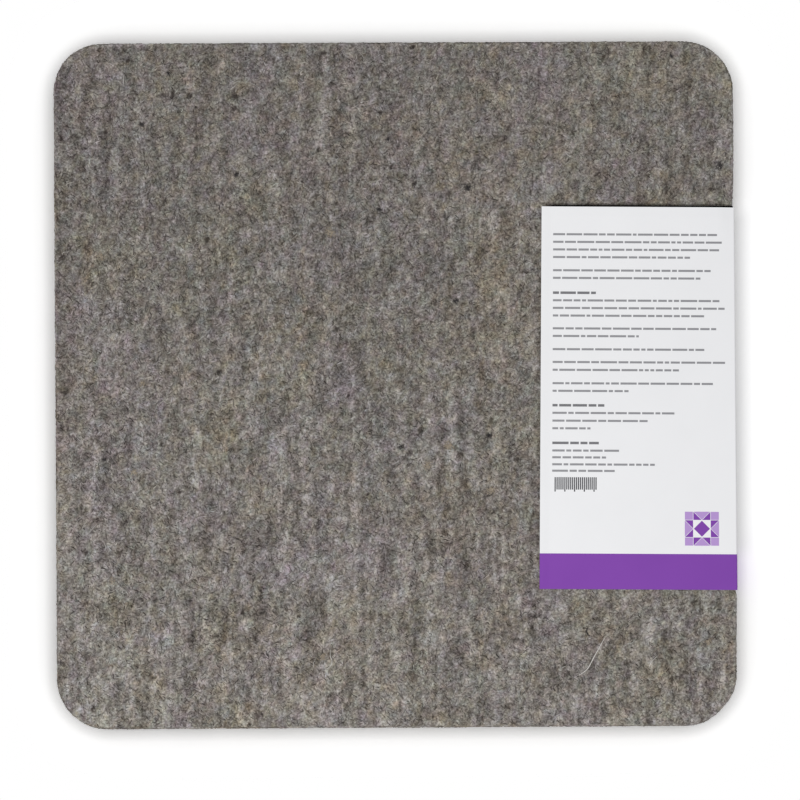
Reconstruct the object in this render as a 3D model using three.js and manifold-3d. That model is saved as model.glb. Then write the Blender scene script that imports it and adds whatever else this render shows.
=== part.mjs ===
// A wool pressing mat: one thick slab of felt, and the folded card wrap that grips its right-hand edge.
// Millimetres, +Z up, +X towards the wrapped edge. The origin is the middle of the felt's underside.
import * as THREE from 'three';
import { mergeVertices } from 'three/addons/utils/BufferGeometryUtils.js';
import Module from 'manifold-3d';

// Felt slab
const matWidth = 340; // along X, across the wrapped edge
const matDepth = 342.9; // along Y
const matThickness = 12.7;
const cornerRadius = 25.4;
const rimRounding = 1.2; // softened rim of the cut edge, above and below
const cornerSteps = 14; // flats round one corner
const rimSteps = 3; // flats across one rim

// Card wrap
const cardThickness = 0.4;
const wrapLength = 191.3; // along the mat's edge
const topPanelWidth = 97.8; // crease to free edge, half-way along the wrap
const bottomPanelWidth = 97.8;
const wrapShift = -7.3; // middle of the top panel along Y, from the mat's middle
const wrapLean = THREE.MathUtils.degToRad(0.65); // the wrap is folded on a little askew
const foldRounding = 0.3; // outside of a crease
const foldSteps = 3; // flats round one crease

// Clearances
const wrapGap = 0.3; // card to felt
const creaseGap = 0.3; // panel to spine at a crease
const seatMargin = 1.5; // pressed felt round the lower panel

const feltMaterial = new THREE.MeshStandardMaterial({ color: 0x7a756e, roughness: 0.95, metalness: 0 });
const cardMaterial = new THREE.MeshStandardMaterial({ color: 0xeaeaec, roughness: 0.6, metalness: 0 });

// Levels and places that follow from the sizes above
const matEdgeX = matWidth / 2;
const spineInnerX = matEdgeX + wrapGap;
const spineOuterX = spineInnerX + cardThickness;
const panelEndX = spineInnerX - creaseGap;
const seatDepth = cardThickness + wrapGap;
const topPanelZ = matThickness + wrapGap;
const wrapTopZ = topPanelZ + cardThickness;
const leanSlope = Math.tan(wrapLean);
const upperCreaseY = wrapShift - (leanSlope * topPanelWidth) / 2; // wrap's middle where it meets a crease
const lowerCreaseY = upperCreaseY - leanSlope * wrapTopZ;

const wasm = await Module();
wasm.setup();

function solidOf(geometry) {
  const bare = geometry.clone();
  bare.deleteAttribute('normal');
  bare.deleteAttribute('uv');
  const merged = mergeVertices(bare);
  const vertProperties = new Float32Array(merged.attributes.position.array);
  const triVerts = new Uint32Array(merged.index.array);
  return new wasm.Manifold(new wasm.Mesh({ numProp: 3, vertProperties, triVerts }));
}

function geometryOf(solid) {
  const mesh = solid.getMesh();
  const geometry = new THREE.BufferGeometry();
  geometry.setAttribute('position', new THREE.BufferAttribute(mesh.vertProperties, 3));
  geometry.setIndex(new THREE.BufferAttribute(mesh.triVerts, 1));
  geometry.computeVertexNormals();
  return geometry;
}

function roundedRectangle(width, depth, radius) {
  const x = width / 2 - radius;
  const y = depth / 2 - radius;
  const shape = new THREE.Shape();
  shape.absarc(x, y, radius, 0, Math.PI / 2);
  shape.absarc(-x, y, radius, Math.PI / 2, Math.PI);
  shape.absarc(-x, -y, radius, Math.PI, 1.5 * Math.PI);
  shape.absarc(x, -y, radius, 1.5 * Math.PI, 2 * Math.PI);
  return shape;
}

// One flat panel of the wrap. Its crease lies along x = creaseX and it runs towards -X, leaning by slope.
function panelShape(width, creaseX, creaseY, slope) {
  const half = wrapLength / 2;
  const freeX = creaseX - width;
  const freeY = creaseY + slope * width;
  const shape = new THREE.Shape();
  shape.moveTo(creaseX, creaseY - half);
  shape.lineTo(creaseX, creaseY + half);
  shape.lineTo(freeX + slope * half, freeY + half);
  shape.lineTo(freeX - slope * half, freeY - half);
  shape.closePath();
  return shape;
}

function flatPanel(shape) {
  return new THREE.ExtrudeGeometry(shape, { depth: cardThickness, bevelEnabled: false });
}

const topPanelShape = panelShape(topPanelWidth, panelEndX, upperCreaseY, leanSlope);
const bottomPanelShape = panelShape(bottomPanelWidth, panelEndX, lowerCreaseY, -leanSlope);

// The felt slab, with the shallow seat that the lower panel presses into its underside
function feltSlab() {
  const outline = roundedRectangle(
    matWidth - 2 * rimRounding,
    matDepth - 2 * rimRounding,
    cornerRadius - rimRounding,
  );
  const slab = new THREE.ExtrudeGeometry(outline, {
    depth: matThickness - 2 * rimRounding,
    curveSegments: cornerSteps,
    bevelThickness: rimRounding,
    bevelSize: rimRounding,
    bevelSegments: rimSteps,
  });
  slab.translate(0, 0, rimRounding);

  const panelBox = new THREE.Box2().setFromPoints(bottomPanelShape.getPoints());
  const seatMin = panelBox.min.clone().subScalar(seatMargin);
  const seatMax = new THREE.Vector2(spineOuterX, panelBox.max.y + seatMargin);
  const seatSize = seatMax.clone().sub(seatMin);
  const seatCentre = seatMin.clone().add(seatMax).divideScalar(2);
  const seat = new THREE.BoxGeometry(seatSize.x, seatSize.y, 2 * seatDepth);
  seat.translate(seatCentre.x, seatCentre.y, 0);
  return geometryOf(solidOf(slab).subtract(solidOf(seat)));
}

// The strip of card over the mat's edge, with its two creases rounded on the outside
function spineStrip() {
  const section = new THREE.Shape();
  section.moveTo(spineInnerX, 0);
  section.absarc(spineOuterX - foldRounding, foldRounding, foldRounding, 1.5 * Math.PI, 2 * Math.PI);
  section.absarc(spineOuterX - foldRounding, wrapTopZ - foldRounding, foldRounding, 0, Math.PI / 2);
  section.lineTo(spineInnerX, wrapTopZ);
  section.closePath();
  const strip = new THREE.ExtrudeGeometry(section, {
    depth: wrapLength,
    curveSegments: foldSteps,
    bevelEnabled: false,
  });
  strip.rotateX(Math.PI / 2); // section into XZ, length along -Y
  strip.translate(0, (upperCreaseY + lowerCreaseY + wrapLength) / 2, 0);
  return strip;
}

function piece(name, geometry, material, z) {
  const mesh = new THREE.Mesh(geometry, material);
  mesh.name = name;
  mesh.position.z = z;
  return mesh;
}

const cardWrap = new THREE.Group();
cardWrap.add(
  piece('card_spine', spineStrip(), cardMaterial, 0),
  piece('card_top_panel', flatPanel(topPanelShape), cardMaterial, topPanelZ),
  piece('card_bottom_panel', flatPanel(bottomPanelShape), cardMaterial, 0),
);

const pressingMat = new THREE.Group();
pressingMat.add(piece('felt_mat', feltSlab(), feltMaterial, 0), cardWrap);

export default pressingMat;
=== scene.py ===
import math
from functools import partial
import bpy
import numpy as np
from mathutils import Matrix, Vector


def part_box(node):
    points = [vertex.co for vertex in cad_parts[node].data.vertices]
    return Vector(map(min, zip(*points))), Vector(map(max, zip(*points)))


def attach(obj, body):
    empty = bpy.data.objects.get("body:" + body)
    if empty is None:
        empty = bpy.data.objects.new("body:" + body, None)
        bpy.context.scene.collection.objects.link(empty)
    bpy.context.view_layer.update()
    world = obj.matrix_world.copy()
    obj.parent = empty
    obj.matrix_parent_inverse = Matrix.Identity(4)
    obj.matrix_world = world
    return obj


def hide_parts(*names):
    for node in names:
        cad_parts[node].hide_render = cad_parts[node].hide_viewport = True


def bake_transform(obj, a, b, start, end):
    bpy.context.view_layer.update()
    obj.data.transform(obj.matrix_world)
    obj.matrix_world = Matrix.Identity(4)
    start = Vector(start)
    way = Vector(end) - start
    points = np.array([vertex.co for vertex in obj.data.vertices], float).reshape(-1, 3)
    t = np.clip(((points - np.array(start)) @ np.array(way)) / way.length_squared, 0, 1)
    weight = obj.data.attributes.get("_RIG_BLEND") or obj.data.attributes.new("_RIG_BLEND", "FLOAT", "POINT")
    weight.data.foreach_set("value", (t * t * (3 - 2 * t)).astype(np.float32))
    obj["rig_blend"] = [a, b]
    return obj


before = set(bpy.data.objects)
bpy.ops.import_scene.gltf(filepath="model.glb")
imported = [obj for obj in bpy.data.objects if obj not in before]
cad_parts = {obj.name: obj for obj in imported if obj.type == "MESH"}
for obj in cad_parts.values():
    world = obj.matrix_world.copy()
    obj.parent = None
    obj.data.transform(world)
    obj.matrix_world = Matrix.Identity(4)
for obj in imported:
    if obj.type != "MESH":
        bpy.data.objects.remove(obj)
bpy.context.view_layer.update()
scene = bpy.context.scene
scene.view_settings.view_transform = "Standard"
feltLow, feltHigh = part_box("felt_mat")
topLow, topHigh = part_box("card_top_panel")
underLow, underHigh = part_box("card_bottom_panel")
spineLow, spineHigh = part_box("card_spine")
halfX = (feltHigh.x - feltLow.x) / 2
halfY = (feltHigh.y - feltLow.y) / 2
tall = feltHigh.z
print("frame loaded")


def wire(tree, node, inputs):  # links sockets, sets plain values
    for key, value in inputs.items():
        if isinstance(value, bpy.types.NodeSocket):
            tree.links.new(value, node.inputs[key])
        else:
            node.inputs[key].default_value = value


def put(tree, kind, inputs=None, **settings):
    node = tree.nodes.new(kind)
    for key, value in settings.items():
        setattr(node, key, value)
    wire(tree, node, inputs or {})
    return node


def result(tree, kind, inputs=None, **settings):  # the new node's first output
    return put(tree, kind, inputs, **settings).outputs[0]


def calc(tree, operation, a, b=0.0, c=0.0):
    return result(tree, "ShaderNodeMath", {0: a, 1: b, 2: c}, operation=operation)


def arrow(tree, operation, a, b=(0.0, 0.0, 0.0)):
    return result(tree, "ShaderNodeVectorMath", {0: a, 1: b}, operation=operation)


def stretch(tree, vector, factor):
    return result(tree, "ShaderNodeVectorMath", {0: vector, "Scale": factor}, operation="SCALE")


def ramp(tree, value, stops):
    node = put(tree, "ShaderNodeValToRGB", {0: value})
    band = node.color_ramp.elements
    while len(band) < len(stops):
        band.new(0.5)
    for element, (place, colour) in zip(band, stops):
        element.position = place
        element.color = (*colour, 1.0)
    return node.outputs[0]


def between(tree, value, low, high, toLow, toHigh, eased=False):
    kind = "SMOOTHSTEP" if eased else "LINEAR"
    inputs = {0: value, 1: low, 2: high, 3: toLow, 4: toHigh}
    return result(tree, "ShaderNodeMapRange", inputs, interpolation_type=kind)


def mixed(tree, share, toLow, toHigh):  # toLow where the share is 0, toHigh where it is 1
    return between(tree, share, 0.0, 1.0, toLow, toHigh)


def clamped(tree, value, low, high):
    return result(tree, "ShaderNodeClamp", {0: value, 1: low, 2: high})


def grain(tree, place, scale, detail=2.0, rough=0.5):
    inputs = {"Vector": place, "Scale": scale, "Detail": detail, "Roughness": rough}
    return result(tree, "ShaderNodeTexNoise", inputs)


def bumped(tree, height, strength, deep):
    return result(tree, "ShaderNodeBump", {"Height": height, "Strength": strength, "Distance": deep})


def objectPlace(tree):
    return tree.nodes.new("ShaderNodeTexCoord").outputs["Object"]


def named(tree, name):  # a value stored on the geometry
    return result(tree, "GeometryNodeInputNamedAttribute", {"Name": name}, data_type="FLOAT")


def dressed(tree, geometry, material):  # instances made real, in their material
    geometry = result(tree, "GeometryNodeRealizeInstances", {0: geometry})
    return result(tree, "GeometryNodeSetMaterial", {"Geometry": geometry, "Material": material})


def seen(tree):  # 1 for the camera, gloss and glass, 0 for other light
    ray = tree.nodes.new("ShaderNodeLightPath").outputs
    shown = calc(tree, "MAXIMUM", ray["Is Camera Ray"], ray["Is Glossy Ray"])
    return calc(tree, "MAXIMUM", shown, ray["Is Transmission Ray"])


def freshMaterial(name):
    material = bpy.data.materials.new(name)
    material.use_nodes = True
    tree = material.node_tree
    return material, tree, tree.nodes["Principled BSDF"]


def freshGroup(name, kind, takes, gives):  # node group with named sockets, and what it is given
    tree = bpy.data.node_groups.new(name, kind)
    for way, sockets in (("INPUT", takes), ("OUTPUT", gives)):
        for socket, labels in sockets.items():
            for label in labels:
                tree.interface.new_socket(label, in_out=way, socket_type="NodeSocket" + socket)
    return tree, tree.nodes.new("NodeGroupInput").outputs


def smooth(value, low, high):
    t = np.clip((np.asarray(value) - low) / (high - low), 0, 1)
    return t * t * (3 - 2 * t)


field = {
    "cells": 512,  # random values to a side, before they repeat
    "start": (140.37, 140.61),  # the cell that the mat's middle falls in
}


def cloud(a, b, cellA, cellB, seed):  # smooth random field, mostly -1 to 1
    cells = field["cells"]
    table = np.random.default_rng(seed).standard_normal((cells, cells))
    p = np.asarray(a) / cellA + field["start"][0]
    q = np.asarray(b) / cellB + field["start"][1]
    i = np.floor(p).astype(int)
    j = np.floor(q).astype(int)
    p = smooth(p - i, 0, 1)
    q = smooth(q - j, 0, 1)
    i0, i1 = i % cells, (i + 1) % cells
    j0, j1 = j % cells, (j + 1) % cells
    near = table[i0, j0] * (1 - q) + table[i0, j1] * q
    far = table[i1, j0] * (1 - q) + table[i1, j1] * q
    return near * (1 - p) + far * p


def clouds(a, b, fields):  # sum of such fields: cell sizes, strength and seed of each
    return sum(cloud(a, b, cellA, cellB, seed) * strength for cellA, cellB, strength, seed in fields)


def stacked(*parts):  # a row for each point or face
    return np.stack(parts, axis=-1).reshape(-1, len(parts))


def squares(grid):  # corners of each square in a grid
    return stacked(grid[:-1, :-1], grid[:-1, 1:], grid[1:, 1:], grid[1:, :-1])


def border(grid):  # once round the grid's edge
    return np.concatenate([grid[0, :-1], grid[:-1, -1], grid[-1, :0:-1], grid[:0:-1, 0]])


def quarterTurn(steps):  # even angles up to a right angle, 0 left out
    return [math.pi / 2 * k / steps for k in range(1, steps + 1)]


def evenly(stretches):  # even steps through stretches: start, end and count of each
    steps = [np.linspace(low, high, count + 1)[1:] for low, high, count in stretches]
    return np.concatenate([[stretches[0][0]], *steps])


def linked(name, data):  # a new object in the scene
    item = bpy.data.objects.new(name, data)
    scene.collection.objects.link(item)
    return item


def meshPiece(name, verts, faces, materials):
    mesh = bpy.data.meshes.new(name)
    mesh.from_pydata(verts, [], faces)
    for material in materials:
        mesh.materials.append(material)
    mesh.update()
    return linked(name, mesh)


def setValues(mesh, name, values, domain="POINT"):
    layer = mesh.attributes.new(name, "FLOAT", domain)
    layer.data.foreach_set("value", np.asarray(values, dtype=np.float32))


def plainPiece(name, holder, material):  # what the holder shows, as a plain mesh
    bpy.context.view_layer.update()
    graph = bpy.context.evaluated_depsgraph_get()
    mesh = bpy.data.meshes.new_from_object(holder.evaluated_get(graph), depsgraph=graph)
    bpy.data.objects.remove(holder)
    mesh.name = name
    mesh.materials.clear()
    mesh.materials.append(material)
    return linked(name, mesh)


def grown(name, source, tree, values, material, keep=()):  # runs a node tree on source
    holder = linked(name + "Source", source)
    modifier = holder.modifiers.new("grow", "NODES")
    modifier.node_group = tree
    names = {item.name: item.identifier for item in tree.interface.items_tree if item.in_out == "INPUT"}
    for key, value in values.items():
        modifier[names[key]] = value
    piece = plainPiece(name, holder, material)
    layers = piece.data.attributes
    spare = [layer.name for layer in layers if not layer.is_internal and not layer.is_required]
    for layer in spare:
        if layer != "sharp_face" and layer not in keep:
            layers.remove(layers[layer])
    return piece


# materials

noiseSpan = (0.3, 0.7)  # where most of a noise's values lie
wool = {
    "clump": 420.0,  # tufts of one tone to a metre
    "clumpTone": 0.42,
    "fine": 900.0,  # single fibres to a metre
    "fineTone": 1.30,
    "fineDetail": 0.7,
    "pull": (1.0, 0.70, 1.0),  # tufts drawn out along the rows
    "dust": 320.0,  # specks of another hue to a metre
    "dustSpan": (0.25, 0.75),
    "dustHue": 0.1,
    "straw": 0.25,  # how far blue swings between straw and slate
    "rose": 0.10,  # how far red swings between rose and moss
    "bands": 5,  # steps of rose kept in a fibre's map
    "bandRoom": (0.1, 0.9),  # part of each step that holds the hue
    "roughSpan": (0.2, 0.8),
    "rough": (0.98, 0.84),
    "bump": 0.7,
    "bumpDeep": 0.0004,
    "gloss": 0.1,
    "hairRough": (0.9, 0.7),
    "hairGloss": 0.15,
}
woolSockets = {"Float": ("Tone", "Hue", "Blush")}
woolGroup, woolGiven = freshGroup("woolShade", "ShaderNodeTree", woolSockets, {"Color": ("Color",)})
woolGrey = ramp(woolGroup, woolGiven["Tone"], (
    (0.045, (0.0500, 0.0418, 0.0375)),
    (0.273, (0.1010, 0.0890, 0.0791)),
    (0.5, (0.1925, 0.1750, 0.1590)),
    (0.727, (0.3193, 0.2970, 0.2750)),
    (0.955, (0.4935, 0.4700, 0.4434)),
))
woolSlate = mixed(woolGroup, woolGiven["Hue"], 1 - wool["straw"], 1 + wool["straw"])
woolRose = mixed(woolGroup, woolGiven["Blush"], 1 - wool["rose"], 1 + wool["rose"])
woolMoss = mixed(woolGroup, woolGiven["Blush"], 1 + wool["rose"] / 2, 1 - wool["rose"] / 2)
woolTint = result(woolGroup, "ShaderNodeCombineXYZ", {
    0: woolRose, 1: woolMoss, 2: calc(woolGroup, "MULTIPLY", woolMoss, woolSlate),
})
put(woolGroup, "NodeGroupOutput", {"Color": arrow(woolGroup, "MULTIPLY", woolGrey, woolTint)})

paper = {
    "fine": 2600.0,  # paper fibres to a metre
    "wide": 55.0,  # clouds in the pulp to a metre
    "wideShare": 0.7,
    "fleck": 0.4,  # how far both swing the colour
    "fade": 0.6,  # painted shade: greyer at the fold than at the free edge, as if the light fell off
    "rough": (0.42, 0.56),
    "bump": 0.25,
    "bumpDeep": 0.00003,
    "gloss": 0.3,
}
paperGroup, paperGiven = freshGroup("paperGrain", "ShaderNodeTree", {"Float": ("Flecks", "Fade")}, {
    "Float": ("Shade", "Rough"), "Vector": ("Normal",),
})
paperPlace = objectPlace(paperGroup)
paperFine = grain(paperGroup, paperPlace, paper["fine"], detail=3.0)
paperWide = grain(paperGroup, paperPlace, paper["wide"])
paperFleck = calc(paperGroup, "MULTIPLY", paperFine, 1 - paper["wideShare"])
paperFleck = calc(paperGroup, "MULTIPLY_ADD", paperWide, paper["wideShare"], paperFleck)
paperFleck = between(paperGroup, paperFleck, *noiseSpan, 0.0, paperGiven["Flecks"])
paperSide = result(paperGroup, "ShaderNodeSeparateXYZ", {0: paperPlace})
# painted shade: every printed colour darkens towards the fold, standing in for the light falling off across
# the card
paperFoldShade = between(paperGroup, paperSide, topLow.x, topHigh.x, paperGiven["Fade"], 0.0)
put(paperGroup, "NodeGroupOutput", {
    "Shade": calc(paperGroup, "ADD", paperFleck, paperFoldShade),
    "Rough": between(paperGroup, paperWide, *noiseSpan, *paper["rough"]),
    "Normal": bumped(paperGroup, paperFine, paper["bump"], paper["bumpDeep"]),
})


def printed(name, dull, bright, gloss=paper["gloss"]):
    material, tree, shader = freshMaterial(name)
    inputs = {"Flecks": paper["fleck"], "Fade": paper["fade"]}
    sheet = put(tree, "ShaderNodeGroup", inputs, node_tree=paperGroup).outputs
    wire(tree, shader, {
        "Base Color": ramp(tree, sheet["Shade"], ((0.0, dull), (1.0, bright))),
        "Roughness": sheet["Rough"],
        "Normal": sheet["Normal"],
        "Specular IOR Level": gloss,
    })
    return material


cardWhite = printed("cardWhite", (0.790, 0.793, 0.810), (0.832, 0.835, 0.850))
cardViolet = printed("cardViolet", (0.181, 0.0450, 0.341), (0.208, 0.0514, 0.380))
# near-black cut edges: painted shadow standing in for the gap under the card, widest at its upper edge
cardShadowEdge = printed("cardShadowEdge", (0.003, 0.003, 0.003), (0.006, 0.006, 0.006), gloss=0.0)
inkGrey = printed("inkGrey", (0.25, 0.25, 0.265), (0.29, 0.29, 0.305))
inkSlate = printed("inkSlate", (0.15, 0.15, 0.16), (0.18, 0.18, 0.19))
inkDark = printed("inkDark", (0.042, 0.042, 0.048), (0.060, 0.060, 0.067))
inkLilac = printed("inkLilac", (0.42, 0.27, 0.58), (0.46, 0.30, 0.62))


def speckled(tree, place, tone):  # tone with its clumps and fibres, and the fibres alone
    clump = grain(tree, arrow(tree, "MULTIPLY", place, wool["pull"]), wool["clump"], detail=1.0)
    fine = grain(tree, place, wool["fine"], rough=wool["fineDetail"])
    for speck, strength in ((clump, wool["clumpTone"]), (fine, wool["fineTone"])):
        tone = calc(tree, "MULTIPLY_ADD", calc(tree, "SUBTRACT", speck, 0.5), strength, tone)
    return tone, fine


feltSkin, feltTree, feltShader = freshMaterial("feltSkin")
feltPlace = objectPlace(feltTree)
feltTone, feltHue, feltBlush = [
    put(feltTree, "ShaderNodeAttribute", attribute_name=name).outputs["Fac"]
    for name in ("woolTone", "woolHue", "woolBlush")
]
feltTone, feltFine = speckled(feltTree, feltPlace, feltTone)
feltDust = grain(feltTree, feltPlace, wool["dust"])
feltDust = between(feltTree, feltDust, *wool["dustSpan"], -wool["dustHue"], wool["dustHue"])
feltHue = calc(feltTree, "ADD", feltHue, feltDust)
feltInputs = {"Tone": feltTone, "Hue": feltHue, "Blush": feltBlush}
wire(feltTree, feltShader, {
    "Base Color": result(feltTree, "ShaderNodeGroup", feltInputs, node_tree=woolGroup),
    "Roughness": between(feltTree, feltFine, *wool["roughSpan"], *wool["rough"]),
    "Normal": bumped(feltTree, feltFine, wool["bump"], wool["bumpDeep"]),
    "Specular IOR Level": wool["gloss"],
})

woolHair, hairTree, hairShader = freshMaterial("woolHair")
hairPlace = result(hairTree, "ShaderNodeUVMap", uv_map="woolUv")
hairTone, hairStep = put(hairTree, "ShaderNodeSeparateXYZ", {0: hairPlace}).outputs[:2]
hairStep = calc(hairTree, "MULTIPLY", hairStep, wool["bands"])
hairBand = calc(hairTree, "FLOOR", hairStep)
hairHue = calc(hairTree, "SUBTRACT", hairStep, hairBand)
hairInputs = {
    "Tone": hairTone,
    "Hue": between(hairTree, hairHue, *wool["bandRoom"], 0.0, 1.0),
    "Blush": calc(hairTree, "DIVIDE", calc(hairTree, "ADD", hairBand, 0.5), wool["bands"]),
}
wire(hairTree, hairShader, {
    "Base Color": result(hairTree, "ShaderNodeGroup", hairInputs, node_tree=woolGroup),
    "Roughness": mixed(hairTree, hairTone, *wool["hairRough"]),
    "Specular IOR Level": wool["hairGloss"],
})
print("materials made")

# felt body

felt = {
    "step": 0.0013,  # spacing of the top's mesh
    "corner": 0.0254,  # outline's corner radius
    "topRim": 0.0012,  # rounding of the upper cut edge
    "lowRim": 0.0008,  # rounding of the lower cut edge
    "rimSteps": 3,
    "wallRows": 8,
    "coarse": 4,  # top squares to one square underneath
    "floorLift": 0.0001,  # underside's height where it rests
    "seatLift": 0.00072,  # underside's height over the lower card
    "seat": (0.003, 0.006),  # recess: room round the lower card, and fade
    "square": 0.00033,  # how far the far edge runs out of square at its ends
    "corners": ((-1, 1, 0.00060), (1, -1, -0.00080)),  # a fuller and a rounder corner
    "drawn": (0.00013, 0.00060),  # how far the wrap draws the edge in, foot and upper end
    "drawnFade": (0.003, 0.022),  # how soon that ends past each
    "drawnReach": 0.008,  # how far in from the edge the felt gives
    "freed": 0.00034,  # how far it swells out again below the wrap's foot
    "freedReach": 0.045,
    "quiet": (0.001, 0.003),  # wool pressed flat: room round the card, and fade
    "sunk": (0.00024, 0.0006),  # top's mean and greatest depth below the solid's
    "relief": (  # lumps, wider lumps and furrows: cell across, cell along, height, seed
        (0.0026, 0.0034, 0.00007, 31),
        (0.006, 0.009, 0.000056, 32),
        (0.0048, 0.06, 0.00006, 33),
    ),
    "pit": 0.00016,  # depth at the dark knots
    "worn": 0.00005,  # the walls' mean depth inside the outline
    "wornSpan": (-0.0001, 0.0004),
    "wear": ((0.004, 0.0009, 0.00007, 41), (0.0017, 0.0012, 0.00006, 42)),
}
shade = {  # each field: cell across, cell along, strength, seed
    "middle": 0.513,
    "rowGap": 0.0128,  # spacing of the needled rows
    "rowTone": 0.030,
    "rowSway": ((0.028, 0.05, 2.6, 11),),
    "rowFade": ((0.02, 0.05, 0.6, 12),),
    "mottle": ((0.0018, 0.0027, 0.075, 13), (0.0065, 0.010, 0.033, 15), (0.05, 0.06, 0.012, 16)),
    "streaks": ((0.0020, 0.0072, 0.048, 14), (0.0023, 0.025, 0.025, 18)),
    "streakSlope": 0.75,  # how much they grow towards the near edge
    "far": -0.037,  # change of tone from the middle to the far edge
    "twist": 0.016,  # the same, to two opposite corners
    "side": -0.014,  # the same, to the right-hand edge
    "knot": (0.0028, 0.0030, 17),  # small dark knots: cell across, cell along, seed
    "knotFrom": 1.55,  # how rare they are
    "knotTone": 0.42,
    "knotHue": 0.10,
    "hue": 0.49,
    "hueFields": ((0.004, 0.005, 0.080, 21), (0.0014, 0.0018, 0.09, 23), (0.02, 0.03, 0.071, 22)),
    "hueSide": 0.02,  # more straw towards the right-hand edge
    "blush": 0.505,
    "blushFields": ((0.004, 0.0046, 0.083, 25), (0.0015, 0.0016, 0.115, 27), (0.02, 0.026, 0.030, 26)),
    "blushHue": 2.0,  # straw and slate wool are redder
    "wall": 0.5,
    "plies": ((0.012, 0.0008, 0.10, 43), (0.003, 0.0014, 0.07, 44)),  # layers in the cut walls
    "wallPull": 3,  # how much faster hues change down the walls
    "rim": (0.015, 0.10, 0.04),  # painted light on the cut edge: paler to the right, to the far side and all round
    "rimReach": 0.0026,  # how far in it carries
    "sideTone": 0.045,  # painted light and shade: darker left, paler right, evening out the lamp from the left
    "sideReach": 0.011,
}


def drawnIn(y):  # how far the wrap draws the right-hand edge in
    return np.interp(y, (topLow.y, topHigh.y), felt["drawn"])


def handCut(x, y):  # outline cut by hand and held by the wrap
    y = y - felt["square"] * x / halfX * smooth(y, 0, halfY)
    for signX, signY, full in felt["corners"]:
        u = np.clip((signX * x - halfX) / felt["corner"] + 1, 0, 1)
        v = np.clip((signY * y - halfY) / felt["corner"] + 1, 0, 1)
        push = full * (2 * u * v) ** 2 / math.sqrt(2)
        x = x + signX * push
        y = y + signY * push
    footFade, headFade = felt["drawnFade"]
    below = topLow.y - y
    foot = smooth(below, 0, footFade)
    held = (1 - foot) * (1 - smooth(y - topHigh.y, 0, headFade))
    freed = foot * (1 - smooth(below, footFade, felt["freedReach"]))
    push = felt["freed"] * freed - drawnIn(y) * held
    return x + push * smooth(x, halfX - felt["drawnReach"], halfX - felt["topRim"]), y


def matPlace(across, along, inset):  # grid from -1 to 1, pulled onto the outline
    sizeX, sizeY, radius = halfX - inset, halfY - inset, felt["corner"] - inset
    x = np.abs(across) * sizeX
    y = np.abs(along) * sizeY
    u = np.clip((x - (sizeX - radius)) / radius, 0, 1)
    v = np.clip((y - (sizeY - radius)) / radius, 0, 1)
    corner = (u > 0) & (v > 0)
    x = np.where(corner, sizeX - radius + radius * u * np.sqrt(1 - v * v / 2), x)
    y = np.where(corner, sizeY - radius + radius * v * np.sqrt(1 - u * u / 2), y)
    return handCut(np.sign(across) * x, np.sign(along) * y)


def outward(x, y):  # straight out of the nearest edge, 0 well inside
    radius = felt["corner"]
    dx = x - np.clip(x, radius - halfX, halfX - radius)
    dy = y - np.clip(y, radius - halfY, halfY - radius)
    size = np.maximum(np.hypot(dx, dy), 1e-9)  # never 0
    return dx / size, dy / size


def covered(x, y, low, high, room, fade):  # 1 inside a card's footprint, 0 beyond it
    past = np.maximum(np.maximum(low.x - x, low.y - y), np.maximum(y - high.y, 0))
    return 1 - smooth(past, room, room + fade)


def underside(x, y):
    seat = covered(x, y, underLow, underHigh, *felt["seat"])
    return felt["floorLift"] + seat * (felt["seatLift"] - felt["floorLift"])


def knots(x, y):  # small dark knots, 0 between them
    return np.maximum(cloud(x, y, *shade["knot"]) - shade["knotFrom"], 0)


def woolTone(x, y):
    u, v = x / halfX, y / halfX
    rows = np.sin(x * math.tau / shade["rowGap"] + clouds(x, y, shade["rowSway"]))
    rows = rows * shade["rowTone"] * (1 + clouds(x, y, shade["rowFade"]))
    streaks = clouds(x, y, shade["streaks"]) * (1 - shade["streakSlope"] * v)
    drift = shade["far"] * v + shade["twist"] * u * v + shade["side"] * u * (1 - v * v)
    spots = clouds(x, y, shade["mottle"]) - shade["knotTone"] * knots(x, y)
    return shade["middle"] + rows + streaks + drift + spots


def rimPaintedLight(x, y):  # painted light on the cut edge, palest at the far edge where the lamp leaves it in shade
    pastX = np.maximum(np.abs(x) - halfX + felt["corner"], 0)
    pastY = np.maximum(np.abs(y) - halfY + felt["corner"], 0)
    inside = felt["corner"] - np.hypot(pastX, pastY)
    sideX, sideY = outward(x, y)
    right, far, even = shade["rim"]
    narrow = (1 - smooth(inside, 0, shade["rimReach"])) * (right * sideX + far * sideY + even)
    return narrow + (1 - smooth(inside, 0, shade["sideReach"])) * shade["sideTone"] * sideX


def woolHue(x, y):
    drift = shade["knotHue"] * knots(x, y) - shade["hueSide"] * x / halfX
    return shade["hue"] + clouds(x, y, shade["hueFields"]) + drift


def woolBlush(x, y):
    drift = shade["blushHue"] * (woolHue(x, y) - shade["hue"]) ** 2
    return shade["blush"] + clouds(x, y, shade["blushFields"]) + drift


coarse = felt["coarse"]
inset = felt["topRim"]
lowRim = felt["lowRim"]
countX, countY = [coarse * round(2 * size / felt["step"] / coarse) for size in (halfX, halfY)]
gridX, gridY = np.meshgrid(np.linspace(-1, 1, countX + 1), np.linspace(-1, 1, countY + 1))
topX, topY = matPlace(gridX, gridY, inset)
relief = clouds(topX, topY, felt["relief"]) - felt["pit"] * knots(topX, topY)
topZ = tall - np.clip(felt["sunk"][0] - relief, 0, felt["sunk"][1])
ids = np.arange(topX.size).reshape(topX.shape)
points = [stacked(topX, topY, topZ)]
faces = squares(ids).tolist()
zones = [0] * len(faces)  # 0 on top, 1 on the walls, 2 underneath

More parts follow.
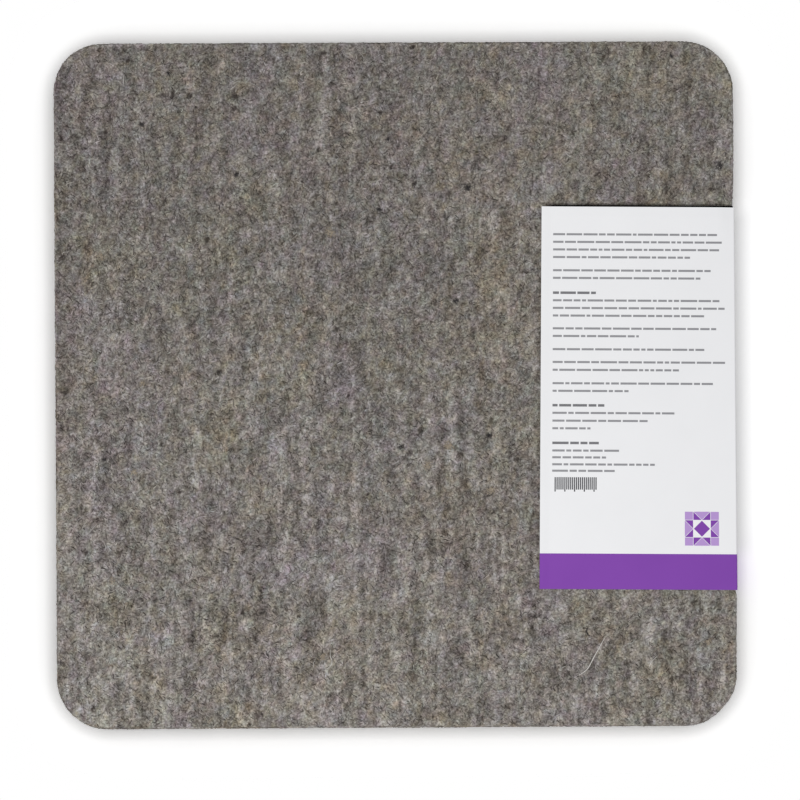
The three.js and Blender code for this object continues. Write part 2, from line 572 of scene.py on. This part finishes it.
loop = border(ids)
loopCount = len(loop)
loopX, loopY, loopZ = points[0][loop].T
sideX, sideY = outward(loopX, loopY)
edgeX = loopX + sideX * inset
edgeY = loopY + sideY * inset
run = np.cumsum(np.hypot(edgeX - np.roll(edgeX, 1), edgeY - np.roll(edgeY, 1)))
wallTop = loopZ - inset
wallFoot = underside(edgeX, edgeY) + lowRim
rings = []  # distance in from the edge, and height
for turn in quarterTurn(felt["rimSteps"]):
    rings.append((inset * (1 - math.sin(turn)), loopZ - inset * (1 - math.cos(turn))))
for k in range(1, felt["wallRows"] + 1):
    rings.append((0.0, wallTop + (wallFoot - wallTop) * k / felt["wallRows"]))
for turn in quarterTurn(felt["rimSteps"])[:-1]:
    rings.append((lowRim * (1 - math.cos(turn)), wallFoot - lowRim * math.sin(turn)))
ringTones = []
above = loop
for k, (back, z) in enumerate(rings):
    back = back + np.clip(felt["worn"] - clouds(run, z, felt["wear"]), *felt["wornSpan"])
    points.append(stacked(edgeX - sideX * back, edgeY - sideY * back, z))
    ringTones.append(shade["wall"] + clouds(run, z, shade["plies"]))
    ring = ids.size + k * loopCount + np.arange(loopCount)
    faces += stacked(ring, np.roll(ring, -1), np.roll(above, -1), above).tolist()
    above = ring
zones += [1] * (len(faces) - len(zones))

lowX, lowY = matPlace(gridX[::coarse, ::coarse], gridY[::coarse, ::coarse], lowRim)
lowStart = ids.size + len(rings) * loopCount
lowIds = lowStart + np.arange(lowX.size).reshape(lowX.shape)
points.append(stacked(lowX, lowY, underside(lowX, lowY)))
faces += squares(lowIds)[:, [0, 3, 2, 1]].tolist()  # facing down
lowLoop = border(lowIds).tolist()
footLoop = above.tolist()
for k, start in enumerate(lowLoop):
    fan = [footLoop[(k * coarse + m) % loopCount] for m in range(coarse + 1)]
    faces.append([start, lowLoop[(k + 1) % len(lowLoop)], *reversed(fan)])
zones += [2] * (len(faces) - len(zones))

points = np.concatenate(points)
feltMat = meshPiece("feltMat", points.tolist(), faces, [feltSkin])
feltMat.data.shade_smooth()
pointX, pointY, pointZ = points.T
pulledY = pointY + pointZ * shade["wallPull"]
tones = woolTone(pointX, pointY)
tones[ids.size:lowStart] = np.concatenate(ringTones)
tones[:lowStart] += rimPaintedLight(pointX[:lowStart], pointY[:lowStart])
for name, values in (
    ("woolTone", tones),
    ("woolHue", woolHue(pointX, pulledY)),
    ("woolBlush", woolBlush(pointX, pulledY)),
    ("quiet", covered(pointX, pointY, topLow, topHigh, *felt["quiet"])),
):
    setValues(feltMat.data, name, values)
setValues(feltMat.data, "zone", zones, "FACE")
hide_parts("felt_mat")
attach(feltMat, "mat")
print("felt body made", len(feltMat.data.polygons))

# wool fibres

fibre = {
    "points": 4,
    "sides": 3,
    "sink": 0.00014,  # how deep the ends dip into the felt
    "wave": 330.0,  # curls to a metre
    "marks": 500.0,  # how far apart two fibres' curls may lie
    "taper": 0.35,
    "vigour": (0.45, 1.0),  # share of its coat's height and thickness
    "toss": (0.2, 1.0),  # share of its coat's scatter
    "hueToss": 0.06,
    "blushToss": 0.1,
    "toneSpan": (0.01, 0.99),
    "hueSpan": (0.02, 0.96),
    "hush": 0.85,  # share of its height lost under the card
    "slide": 0.05,  # change of tone from end to end
    "sideStep": 0.002,  # keeps a fibre's sides apart on its map
}


def lockTree():
    tree, given = freshGroup("woolLocks", "GeometryNodeTree", {
        "Geometry": ("Bed",),
        "Float": ("Zone", "Density", "Shortest", "Longest", "Thickness", "Arch", "Curl", "Spread", "Tone",
                  "Local", "Scatter"),
        "Vector": ("Across",), "Int": ("Points", "Seed"), "Material": ("Coat",),
    }, {"Geometry": ("Locks",)})

    times, plus, minus = [partial(calc, tree, kind) for kind in ("MULTIPLY", "ADD", "SUBTRACT")]
    own = partial(named, tree)

    def chance(low, high, offset):
        inputs = {2: low, 3: high, "Seed": plus(given["Seed"], offset)}
        return put(tree, "FunctionNodeRandomValue", inputs, data_type="FLOAT").outputs[1]

    def store(geometry, name, value, kind="FLOAT", domain="POINT"):
        inputs = {"Geometry": geometry, "Name": name, "Value": value}
        return result(tree, "GeometryNodeStoreNamedAttribute", inputs, data_type=kind, domain=domain)

    def nearest(value):  # the bed's own value, at its nearest point
        inputs = {"Mesh": given["Bed"], "Value": value}
        return result(tree, "GeometryNodeSampleNearestSurface", inputs, data_type="FLOAT_VECTOR")

    chosen = result(tree, "FunctionNodeCompare", {0: own("zone"), 1: given["Zone"], "Epsilon": 0.1},
                    data_type="FLOAT", operation="EQUAL")
    sown = put(tree, "GeometryNodeDistributePointsOnFaces", {
        "Mesh": given["Bed"], "Selection": chosen, "Density": given["Density"], "Seed": given["Seed"],
    }).outputs
    along = arrow(tree, "NORMALIZE", arrow(tree, "CROSS_PRODUCT", sown["Normal"], given["Across"]))
    aside = arrow(tree, "CROSS_PRODUCT", sown["Normal"], along)
    swing = times(chance(-1.0, 1.0, 1), given["Spread"])
    heading = arrow(tree, "ADD", stretch(tree, along, calc(tree, "COSINE", swing)),
                    stretch(tree, aside, calc(tree, "SINE", swing)))
    reach = mixed(tree, chance(0.0, 1.0, 2), given["Shortest"], given["Longest"])
    local = times(minus(own("woolTone"), 0.5), given["Local"])
    toss = times(chance(-1.0, 1.0, 3), chance(*fibre["toss"], 4))
    tone = plus(plus(given["Tone"], local), times(toss, given["Scatter"]))
    hue = plus(own("woolHue"), chance(-fibre["hueToss"], fibre["hueToss"], 5))
    hue = mixed(tree, clamped(tree, hue, *fibre["hueSpan"]), *wool["bandRoom"])
    blush = plus(own("woolBlush"), chance(-fibre["blushToss"], fibre["blushToss"], 8))
    band = calc(tree, "FLOOR", times(blush, wool["bands"]))
    band = clamped(tree, band, 0.0, wool["bands"] - 1.0)
    traits = {
        "tone": tone,
        "hue": calc(tree, "DIVIDE", plus(band, hue), wool["bands"]),
        "reach": reach,
        "mark": chance(0.0, fibre["marks"], 6),
        "vigour": chance(*fibre["vigour"], 7),
    }
    ground = sown["Points"]
    for name, value in traits.items():
        ground = store(ground, name, value)

    line = result(tree, "GeometryNodeCurvePrimitiveLine", {"Start": (-0.5, 0, 0), "End": (0.5, 0, 0)})
    line = result(tree, "GeometryNodeResampleCurve", {"Curve": line, "Count": given["Points"]})
    aim = result(tree, "FunctionNodeAlignRotationToVector", {"Vector": heading}, axis="X")
    strands = result(tree, "GeometryNodeInstanceOnPoints", {
        "Points": ground, "Instance": line, "Rotation": aim, "Scale": own("reach"),
    })
    strands = result(tree, "GeometryNodeRealizeInstances", {0: strands})
    position = result(tree, "GeometryNodeInputPosition")
    curl = put(tree, "ShaderNodeTexNoise", {
        "Vector": position, "W": own("mark"), "Scale": fibre["wave"], "Detail": 1.0,
    }, noise_dimensions="4D").outputs["Color"]
    drift = arrow(tree, "SUBTRACT", curl, (0.5, 0.5, 0.5))
    drift = stretch(tree, drift, times(own("reach"), given["Curl"]))
    strands = result(tree, "GeometryNodeSetPosition", {"Geometry": strands, "Offset": drift})
    factor = tree.nodes.new("GeometryNodeSplineParameter").outputs["Factor"]
    hump = times(times(factor, minus(1.0, factor)), 4.0)  # 0 at both ends, 1 in the middle
    calm = minus(1.0, times(own("quiet"), fibre["hush"]))
    lift = times(times(given["Arch"], calm), own("vigour"))
    height = minus(times(lift, hump), times(minus(1.0, hump), fibre["sink"]))
    raised = stretch(tree, nearest(result(tree, "GeometryNodeInputNormal")), height)
    settled = arrow(tree, "ADD", nearest(position), raised)
    strands = result(tree, "GeometryNodeSetPosition", {"Geometry": strands, "Position": settled})
    strands = store(strands, "along", factor)

    ring = result(tree, "GeometryNodeCurvePrimitiveCircle", {"Resolution": fibre["sides"], "Radius": 1.0})
    ring = store(ring, "side", result(tree, "GeometryNodeInputIndex"))
    girth = times(mixed(tree, hump, fibre["taper"], 1.0), given["Thickness"])
    tubes = result(tree, "GeometryNodeCurveToMesh", {
        "Curve": strands, "Profile Curve": ring, "Scale": times(girth, own("vigour")),
    })
    slide = times(minus(own("along"), 0.5), fibre["slide"])
    shown = speckled(tree, position, plus(slide, own("tone")))[0]
    place = result(tree, "ShaderNodeCombineXYZ", {
        0: clamped(tree, shown, *fibre["toneSpan"]),
        1: plus(times(own("side"), fibre["sideStep"]), own("hue")),
    })
    for layer in ("woolUv", "OFBake"):
        tubes = store(tubes, layer, place, "FLOAT2", "CORNER")
    tubes = result(tree, "GeometryNodeSetShadeSmooth", {0: tubes})
    put(tree, "NodeGroupOutput", {"Locks": dressed(tree, tubes, given["Coat"])})
    return tree


woolLocks = lockTree()
usual = {
    "Zone": 0.0, "Density": 88000.0, "Shortest": 0.0015, "Longest": 0.0040, "Thickness": 0.00030,
    "Arch": 0.00016, "Curl": 0.9, "Spread": 1.36, "Across": (1.0, 0.0, 0.0), "Tone": 0.52, "Local": 0.9,
    "Scatter": 0.40, "Points": fibre["points"], "Coat": woolHair,
}
sides = {"Zone": 1.0, "Across": (0.0, 0.0, 1.0), "Spread": 1.2}
below = {"Zone": 2.0, "Spread": 1.5, "Arch": 0.00002}
loose = {"Shortest": 0.0035, "Longest": 0.013, "Points": 10, "Curl": 0.8, "Local": 0.0, "Scatter": 0.10}
layers = {  # seed of each coat, and where it differs from the usual
    "woolDeep": {"Seed": 101, "Tone": 0.42},
    "woolDusk": {"Seed": 102, "Tone": 0.47},
    "woolMiddle": {"Seed": 103},
    "woolMixed": {"Seed": 104, "Longest": 0.0028},
    "woolPale": {"Seed": 105, "Tone": 0.57},
    "woolFine": {"Seed": 106, "Tone": 0.60, "Thickness": 0.00018, "Longest": 0.006},
    "woolEdge": {"Seed": 107, "Density": 560000.0, "Arch": 0.0001, **sides},
    "woolUnder": {"Seed": 108, "Thickness": 0.0003, "Longest": 0.008, **below},
    "woolStray": {"Seed": 109, **loose, "Tone": 0.93, "Density": 700.0, "Thickness": 0.0002},
    "woolCurls": {
        "Seed": 110, **loose, "Tone": 0.16, "Density": 900.0, "Thickness": 0.00034, "Longest": 0.005,
    },
}
for name, change in layers.items():
    coat = grown(name, feltMat.data, woolLocks, {**usual, **change}, woolHair, ("woolUv", "OFBake"))
    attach(coat, "mat")
    print("fibres made", name, len(coat.data.polygons))

wisp = {
    "rise": 0.00034,  # height of a hair's middle over the felt
    "sink": -0.0001,  # height of its ends
    "taper": 0.5,
    "steps": 6,
    "spots": 700.0,  # specks to a metre
    "rough": (0.75, 0.55),
    "gloss": 0.2,
}
palePlaces = (  # half thickness, then places along each hair, in millimetres
    (0.26, ((104, -127), (100.5, -133), (98, -137.5), (96.5, -140.5), (94.5, -143.5), (91, -145.5))),
    (0.15, ((130.5, -136), (127.5, -138.5), (126.5, -140.5), (126, -142))),
    (0.17, ((-123, -122), (-124, -123.5), (-123, -125.5), (-124.5, -128))),
    (0.15, ((-134.5, 156), (-135, 153), (-134.5, 150))),
    (0.16, ((-33, -132), (-33.5, -135), (-32, -137.5), (-33, -140.5), (-35.5, -142))),
    (0.15, ((12.5, -133), (13, -134.5), (12, -136))),
    (0.15, ((-41, -137.5), (-42, -139), (-41.5, -141))),
)
darkPlaces = (
    (0.36, ((95.5, -122), (94, -124.5), (96.5, -126))),
)
tuft = {
    "hairs": 13,  # to each millimetre of a tuft's reach
    "long": (0.9, 1.9),  # shares of the reach
    "thick": (0.08, 0.14),
    "spread": 0.42,  # share of the reach
    "bend": 0.7,
    "seed": 5,
}
darkTufts = (  # reach, then the middle, in millimetres
    (1.9, (37, 98.5)), (1.8, (163, 108.5)), (1.4, (47, -25.5)), (1.4, (30.5, 41.5)), (1.3, (3, -31)),
    (1.2, (-126, 131)), (1.3, (-78.5, 105.5)), (1.1, (-3, 123)), (1.1, (-7.5, 88)),
    (1.1, (-112.5, 156.5)), (1.0, (-145.5, -36.5)), (1.1, (139, 163.5)),
)
strawTufts = (
    (2.3, (26.5, -30.5)), (2.1, (-32, 76.5)), (2.0, (48, -53)), (1.9, (-146.5, 65)), (1.8, (-130.5, -43)),
    (1.6, (156, -129)), (1.6, (-142, -97)), (1.7, (16.5, -40)), (1.7, (-37, -135.5)), (1.6, (-126, 1.5)),
)
tuftDraw = np.random.default_rng(tuft["seed"])


def tuftHairs(places):
    hairs = []
    for reach, middle in places:
        for k in range(round(tuft["hairs"] * reach)):
            heart = np.array(middle) + reach * tuftDraw.normal(0, tuft["spread"], 2)
            turn = tuftDraw.uniform(0, math.tau)
            long = reach * tuftDraw.uniform(*tuft["long"]) / 2
            ahead = long * np.array((math.cos(turn), math.sin(turn)))
            aside = np.array((-ahead[1], ahead[0])) * tuftDraw.uniform(-tuft["bend"], tuft["bend"])
            hairs.append((tuftDraw.uniform(*tuft["thick"]), (heart - ahead, heart + aside, heart + ahead)))
    return tuple(hairs)


def wispSkin(name, dull, bright):
    material, tree, shader = freshMaterial(name)
    spot = grain(tree, objectPlace(tree), wisp["spots"])
    wire(tree, shader, {
        "Base Color": ramp(tree, spot, tuple(zip(noiseSpan, (dull, bright)))),
        "Roughness": between(tree, spot, *noiseSpan, *wisp["rough"]),
        "Specular IOR Level": wisp["gloss"],
    })
    return material


def wispPiece(name, wisps, material):
    line = bpy.data.curves.new(name + "Line", "CURVE")
    line.dimensions = "3D"
    line.bevel_depth = 1.0
    line.bevel_resolution = 1
    line.resolution_u = wisp["steps"]
    line.use_fill_caps = True
    for thick, places in wisps:
        spline = line.splines.new("NURBS")
        spline.points.add(len(places) - 1)
        spline.order_u = 3
        spline.use_endpoint_u = True
        for k, (x, y) in enumerate(places):
            end = k in (0, len(places) - 1)
            spline.points[k].co = (x / 1000, y / 1000, tall + (wisp["sink"] if end else wisp["rise"]), 1.0)
            spline.points[k].radius = thick / 1000 * (wisp["taper"] if end else 1.0)
    piece = plainPiece(name, linked(name + "Line", line), material)
    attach(piece, "mat")
    return piece


paleSkin = wispSkin("wispPale", (0.50, 0.48, 0.45), (0.68, 0.66, 0.63))
darkSkin = wispSkin("wispDark", (0.020, 0.0178, 0.0186), (0.038, 0.034, 0.036))
strawSkin = wispSkin("wispStraw", (0.28, 0.228, 0.168), (0.43, 0.37, 0.295))
hairPieces = [
    wispPiece("paleWisps", palePlaces, paleSkin),
    wispPiece("darkWisps", darkPlaces + tuftHairs(darkTufts), darkSkin),
    wispPiece("strawWisps", tuftHairs(strawTufts), strawSkin),
]
print("single hairs made", sum(len(piece.data.polygons) for piece in hairPieces))

# card wrap

wrap = {
    "thick": 0.0004,
    "lean": math.radians(0.65),
    "bend": 0.0007,  # middle radius of each fold
    "bendSteps": 6,
    "band": 0.0178,  # height of the violet band
    "liftTop": 0.0006,  # how far the upper edge stands off near the fold
    "liftReach": 0.030,  # how far down the panel that carries
    "liftLoss": 0.3,  # share of it lost by the free edge
    "liftStart": 0.08,  # share of the panel where it starts, at the fold
    "liftSide": 0.0003,  # how far the free edge stands off
    "sideReach": 0.0055,
    "trimEnds": 0.00016,  # taken off the solid's upper and lower edges
    "trimFree": 0.00042,  # taken off the free edge
    "shadowSlant": 0.00082,  # how far the near-black cut slopes out at the upper edge, a painted shadow line
    "shadowSlantStart": 0.08,  # share of the panel where it starts, at the free edge
    "bandColumns": 4,
    "columns": 36,
    "rows": ((0, 0.06, 6), (0.06, 0.90, 21), (0.90, 1, 5)),  # from the free edge to the fold
    "spineRows": 6,
    "lowerRows": 24,
}
slope = math.tan(wrap["lean"])
bend = wrap["bend"]
sizeX = topHigh.x - topLow.x
sizeY = topHigh.y - topLow.y
panelWide = (sizeX - slope * sizeY / 2) / (1 - slope * slope / 2)
half = (sizeY - slope * panelWide) / 2 - wrap["trimEnds"]
foldX = (spineLow.x + spineHigh.x) / 2 - bend
upperZ = (topLow.z + topHigh.z) / 2
lowerZ = (underLow.z + underHigh.z) / 2
upperY = (topLow.y + topHigh.y - slope * panelWide) / 2
lowerY = (underLow.y + underHigh.y + slope * panelWide) / 2
reachX = panelWide - (topHigh.x - foldX) - wrap["trimFree"]
bandLine = -half + wrap["band"]
columns = evenly(((-half, bandLine, wrap["bandColumns"]), (bandLine, half, wrap["columns"])))


def cardLift(f, q):  # f is 0 at the fold and 1 at the free edge, q runs up the panel
    upper = smooth(q, half - wrap["liftReach"], half) ** 2 * wrap["liftTop"]
    upper = upper * (1 - wrap["liftLoss"] * f) * smooth(f, 0.0, wrap["liftStart"])
    return upper + (1 - smooth((1 - f) * reachX, 0.0, wrap["sideReach"])) * wrap["liftSide"]


def panelRow(f, q, foldY, z, tilt):
    y = foldY + f * tilt * reachX + q
    x = foldX - f * (reachX - tilt * q) - (1 - f) * drawnIn(y)
    return stacked(x, y, np.full_like(q, z))


def sheetPiece(name, strips):
    rows, normals, shadowSlants = [np.array(part) for part in zip(*strips)]
    normals = normals[:, None, :] * wrap["thick"] / 2
    inner = rows - normals
    # the upper edge's inner side pushed out, widening the dark cut into a painted shadow strip
    inner[:, -1, 1] += shadowSlants
    verts = np.concatenate([rows + normals, inner]).reshape(-1, 3)
    shift = len(verts) // 2
    grid = np.arange(shift).reshape(rows.shape[:2])
    quads = squares(grid)
    rim = border(grid)
    after = np.roll(rim, -1)
    edge = stacked(rim, rim + shift, after + shift, after)
    sheet = np.concatenate([quads, quads[:, ::-1] + shift, edge])[:, ::-1]
    piece = meshPiece(name, verts.tolist(), sheet.tolist(), [cardWhite, cardViolet, cardShadowEdge])
    skin = np.zeros(len(sheet), dtype=np.int32)
    column = np.tile(np.arange(rows.shape[1] - 1), rows.shape[0] - 1)
    skin[:len(quads)] = column < wrap["bandColumns"]
    skin[2 * len(quads):] = 2
    piece.data.polygons.foreach_set("material_index", skin)
    return piece


upper = []  # each row of points, the way it faces, and how far its painted shadow edge slopes out
for f in 1 - evenly(wrap["rows"]):
    row = panelRow(f, columns, upperY, upperZ, slope)
    row[:, 2] += cardLift(f, columns)
    upper.append((row, (0, 0, 1), wrap["shadowSlant"] * smooth(1 - f, 0, wrap["shadowSlantStart"])))
for turn in quarterTurn(wrap["bendSteps"]):
    row = panelRow(0.0, columns, upperY - slope * bend * turn, upperZ, slope)
    row += (bend * math.sin(turn), 0, -bend * (1 - math.cos(turn)))
    upper.append((row, (math.sin(turn), 0, math.cos(turn)), 0.0))
spineTop = upperZ - bend
spineFoot = lowerZ + bend
spineStep = (spineTop - spineFoot) / wrap["spineRows"]
for k in range(wrap["spineRows"]):
    row = row - (0, slope * spineStep, spineStep)
    upper.append((row, (1, 0, 0), 0.0))
lower = [upper[-1]]
for turn in quarterTurn(wrap["bendSteps"]):
    fall = np.array((1 - math.cos(turn), slope * turn, math.sin(turn))) * bend
    lower.append((row - fall, (math.cos(turn), 0, -math.sin(turn)), 0.0))
for f in evenly(((0, 1, wrap["lowerRows"]),))[1:]:
    lower.append((panelRow(f, columns, lowerY, lowerZ, -slope), (0, 0, -1), 0.0))
upperCard = sheetPiece("upperCard", upper)
lowerCard = sheetPiece("lowerCard", lower)
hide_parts("card_top_panel", "card_spine")
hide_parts("card_bottom_panel")
bendX = foldX - np.mean(felt["drawn"])
spineX = bendX + bend
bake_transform(upperCard, "wrap_spine", "wrap_top", (spineX, upperY, spineTop), (bendX, upperY, upperZ))
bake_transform(lowerCard, "wrap_spine", "wrap_bottom", (spineX, lowerY, spineFoot), (bendX, lowerY, lowerZ))
print("card wrap made")

# print on the card

ink = {
    "left": 0.0060,  # dashes begin here, from the free edge
    "wide": 0.0866,
    "rise": 0.00003,  # how far the ink stands above the card
    "deep": 0.00010,
    "thinTall": 0.00104,  # height of a row's dashes
    "boldTall": 0.00125,
    "dash": (0.0018, 0.0085),  # shortest and longest dash of a row
    "least": 0.0012,  # a shorter rest of a row stays empty
    "space": 0.0008,
    "seed": 7,
}
dashRows = (  # millimetres from the card's upper edge, and how full each row is
    ("thin", ((13.8, 0.98), (17.6, 1.0), (21.4, 0.97), (25.2, 0.80), (31.8, 0.92), (35.6, 0.86))),
    ("bold", ((43.0, 0.25),)),
    ("thin", ((46.8, 0.97), (50.6, 1.0), (54.4, 0.88), (60.8, 0.95), (64.6, 0.50), (71.2, 0.88))),
    ("thin", ((77.6, 1.0), (81.5, 0.74), (88.2, 0.94), (92.0, 0.44))),
    ("bold", ((99.2, 0.30),)),
    ("thin", ((103.0, 0.71), (106.9, 0.55), (110.7, 0.22))),
    ("bold", ((118.0, 0.28),)),
    ("thin", ((121.8, 0.39), (125.2, 0.31), (128.7, 0.60), (131.9, 0.36))),
)


def cardPlace(a, b, rise):  # a from the free edge, b from the upper edge, rise above the card
    f = 1 - a / reachX
    q = half - b
    spot = panelRow(f, np.array([q]), upperY, upperZ, slope)[0]
    spot[2] += float(cardLift(f, q)) + wrap["thick"] / 2 + rise
    return spot.tolist()


def barTree():
    tree, given = freshGroup("inkBars", "GeometryNodeTree", {
        "Geometry": ("Dots",), "Float": ("Lean", "Deep"), "Material": ("Ink",),
    }, {"Geometry": ("Bars",)})
    dots = result(tree, "GeometryNodeMeshToPoints", {"Mesh": given["Dots"]})
    block = result(tree, "GeometryNodeMeshCube", {"Size": (1.0, 1.0, 1.0)})
    size = result(tree, "ShaderNodeCombineXYZ", {
        0: named(tree, "barLong"), 1: named(tree, "barTall"), 2: given["Deep"],
    })
    turn = result(tree, "ShaderNodeCombineXYZ", {2: given["Lean"]})
    bars = result(tree, "GeometryNodeInstanceOnPoints", {
        "Points": dots, "Instance": block, "Rotation": turn, "Scale": size,
    })
    put(tree, "NodeGroupOutput", {"Bars": dressed(tree, bars, given["Ink"])})
    return tree


inkBars = barTree()


def printBars(name, bars, material):  # each bar: its middle, length and height
    dots = bpy.data.meshes.new(name + "Dots")
    rise = ink["rise"] - ink["deep"] / 2
    dots.from_pydata([cardPlace(bar[0], bar[1], rise) for bar in bars], [], [])
    setValues(dots, "barLong", [bar[2] for bar in bars])
    setValues(dots, "barTall", [bar[3] for bar in bars])
    values = {"Lean": -wrap["lean"], "Deep": ink["deep"], "Ink": material}
    piece = grown(name, dots, inkBars, values, material)
    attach(piece, "wrap_top")


dashDraw = np.random.default_rng(ink["seed"])
dashes = {"thin": [], "bold": []}
for kind, rows in dashRows:
    for down, full in rows:
        place = ink["left"]
        limit = ink["left"] + ink["wide"] * full
        while place < limit - ink["least"]:
            long = min(float(dashDraw.uniform(*ink["dash"])), limit - place)
            dashes[kind].append((place + long / 2, down / 1000, long, ink[kind + "Tall"]))
            place += long + ink["space"]
printBars("printLines", dashes["thin"], inkGrey)
printBars("printHeads", dashes["bold"], inkSlate)
ticks = {
    "left": 0.0075,
    "top": 0.1351,
    "gap": 0.00097,
    "count": 22,
    "thick": 0.0006,
    "long": 0.0072,
    "every": 5,  # each fifth tick has the full length
    "short": 0.86,  # share of it that the others have
}
tickBars = []
for k in range(ticks["count"]):
    long = ticks["long"] * (ticks["short"] if k % ticks["every"] else 1)
    tickBars.append((ticks["left"] + k * ticks["gap"], ticks["top"] + long / 2, ticks["thick"], long))
printBars("printTicks", tickBars, inkDark)

star = {
    "x": 0.0805,
    "down": 0.1605,
    "size": 0.0172,
    "patch": 0.93,  # share of its place that each patch fills
}
starUnit = star["size"] / 4
starShapes = []  # corners of each patch in quarter blocks, and its ink
for c, s in ((1, 0), (0, 1), (-1, 0), (0, -1)):  # cosine and sine of each quarter turn
    for shape, tint in (
        (((-1, 1), (0, 1), (-1, 2)), 0),
        (((1, 1), (1, 2), (0, 1)), 0),
        (((-1, 2), (0, 1), (1, 2)), 1),
        (((1, 1), (2, 1), (2, 2), (1, 2)), 1),
    ):
        starShapes.append(([(c * p - s * q, s * p + c * q) for p, q in shape], tint))
starShapes.append(([(0, -1), (1, 0), (0, 1), (-1, 0)], 0))
starVerts, starFaces, starTints = [], [], []
for shape, tint in starShapes:
    first = len(starVerts)
    count = len(shape)
    middle = np.mean(shape, axis=0)
    patch = (middle + (np.array(shape) - middle) * star["patch"]) * starUnit
    for rise in (ink["rise"], -ink["deep"]):
        starVerts += [cardPlace(star["x"] + p, star["down"] - q, rise) for p, q in patch]
    starFaces.append([first + k for k in range(count)])
    starFaces.append([first + count + k for k in reversed(range(count))])
    for k in range(count):
        after = (k + 1) % count
        starFaces.append([first + k, first + count + k, first + count + after, first + after])
    starTints += [tint] * (count + 2)
quiltStar = meshPiece("quiltStar", starVerts, starFaces, [cardViolet, inkLilac])
quiltStar.data.polygons.foreach_set("material_index", starTints)
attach(quiltStar, "wrap_top")
print("print made", len(dashes["thin"]), len(dashes["bold"]))

# floor, light and camera

floor = {
    "drop": 0.0002,
    "room": 0.030,  # how far the floor reaches past the mat
    "fade": 0.014,  # where it starts to clear
    "spare": 0.002,  # clear rim of the plate
    "bounce": 0.9,
    "bright": 2.17,  # floor colour as the camera sees it
    "edgeShadow": 1.39,  # painted shadow: the floor colour right at the mat's edge
    "edgeShadowReach": 0.0085,
    "cardBright": 1.88,  # both again beside the card's pale spine, darker there as painted shade against the light it throws
    "cardEdgeShadow": 0.97,
    "cardReach": (0.008, 0.013),
    "cardFoot": (0.012, 0.024),  # where that starts, from the card's foot
    "cardHead": (-0.008, 0.003),  # where it ends, from its upper end
}
floorSkin, floorTree = freshMaterial("floorSkin")[:2]
floorTree.nodes.clear()
floorPlace = objectPlace(floorTree)
innerSize = (halfX - felt["corner"], halfY - felt["corner"], 1.0)
floorPast = arrow(floorTree, "SUBTRACT", arrow(floorTree, "ABSOLUTE", floorPlace), innerSize)
floorPast = arrow(floorTree, "MAXIMUM", floorPast)
floorAway = put(floorTree, "ShaderNodeVectorMath", {0: floorPast}, operation="LENGTH").outputs["Value"]
floorAway = calc(floorTree, "SUBTRACT", floorAway, felt["corner"])
floorX, floorY = put(floorTree, "ShaderNodeSeparateXYZ", {0: floorPlace}).outputs[:2]
footLow, footHigh = [topLow.y + place for place in floor["cardFoot"]]
headLow, headHigh = [topHigh.y + place for place in floor["cardHead"]]
floorBeside = calc(floorTree, "MULTIPLY",
                   between(floorTree, floorY, footLow, footHigh, 0.0, 1.0, eased=True),
                   between(floorTree, floorY, headLow, headHigh, 1.0, 0.0, eased=True))
floorBeside = calc(floorTree, "MULTIPLY", floorBeside, calc(floorTree, "GREATER_THAN", floorX, 0.0))
# painted shadow: the floor's colour darkens towards the mat's edge, and more beside the card's spine
floorEdgeShadow = mixed(floorTree, floorBeside, floor["edgeShadow"], floor["cardEdgeShadow"])
floorBeside = calc(floorTree, "MULTIPLY", floorBeside,
                   between(floorTree, floorAway, *floor["cardReach"], 1.0, 0.0, eased=True))
floorBright = mixed(floorTree, floorBeside, floor["bright"], floor["cardBright"])
floorShown = between(floorTree, floorAway, 0.0, floor["edgeShadowReach"], floorEdgeShadow, floorBright)
floorShade = mixed(floorTree, seen(floorTree), floor["bounce"], floorShown)
floorMixed = result(floorTree, "ShaderNodeMixShader", {
    0: between(floorTree, floorAway, floor["fade"], floor["room"], 1.0, 0.0, eased=True),
    1: result(floorTree, "ShaderNodeBsdfTransparent"),
    2: result(floorTree, "ShaderNodeBsdfDiffuse", {"Color": floorShade}),
})
put(floorTree, "ShaderNodeOutputMaterial", {0: floorMixed})
farX, farY = [size + floor["room"] + floor["spare"] for size in (halfX, halfY)]
floorCorners = [(x * farX, y * farY, -floor["drop"]) for x, y in ((-1, -1), (1, -1), (1, 1), (-1, 1))]
floorPlate = meshPiece("floorPlate", floorCorners, [(0, 1, 2, 3)], [floorSkin])

light = {
    "world": 0.515,
    "lamp": 94.0,
    "place": (-1.0, -2.4, 2.5),
    "size": 1.1,
}
world = bpy.data.worlds.new("studio")
world.use_nodes = True
scene.world = world
worldTree = world.node_tree
worldTree.nodes.clear()
worldGlow = mixed(worldTree, seen(worldTree), light["world"], 1.0)
worldSky = result(worldTree, "ShaderNodeBackground", {"Color": (1.0, 1.0, 1.0, 1.0), "Strength": worldGlow})
put(worldTree, "ShaderNodeOutputWorld", {0: worldSky})
lampData = bpy.data.lights.new("softLamp", "AREA")
lampData.energy = light["lamp"]
lampData.size = light["size"]
softLamp = linked("softLamp", lampData)
softLamp.location = light["place"]
softLamp.rotation_euler = (-Vector(light["place"])).to_track_quat("-Z", "Y").to_euler()
floorOnly = bpy.data.collections.new("floorOnly")  # the floor is lit by the sky alone
floorOnly.objects.link(floorPlate)
floorOnly.collection_objects[0].light_linking.link_state = "EXCLUDE"
softLamp.light_linking.receiver_collection = floorOnly

view = {
    "lens": 85.0,
    "sensor": 36.0,
    "span": 0.3998,  # width of the picture at the felt's top
    "x": 0.00243,
    "y": -0.00748,
    "roll": -0.006,
}
cameraData = bpy.data.cameras.new("camera")
cameraData.lens = view["lens"]
cameraData.sensor_width = view["sensor"]
camera = linked("camera", cameraData)
camera.location = (view["x"], view["y"], tall + view["span"] * view["lens"] / view["sensor"])
camera.rotation_euler = (0.0, 0.0, view["roll"])
scene.camera = camera
print("light and camera set")
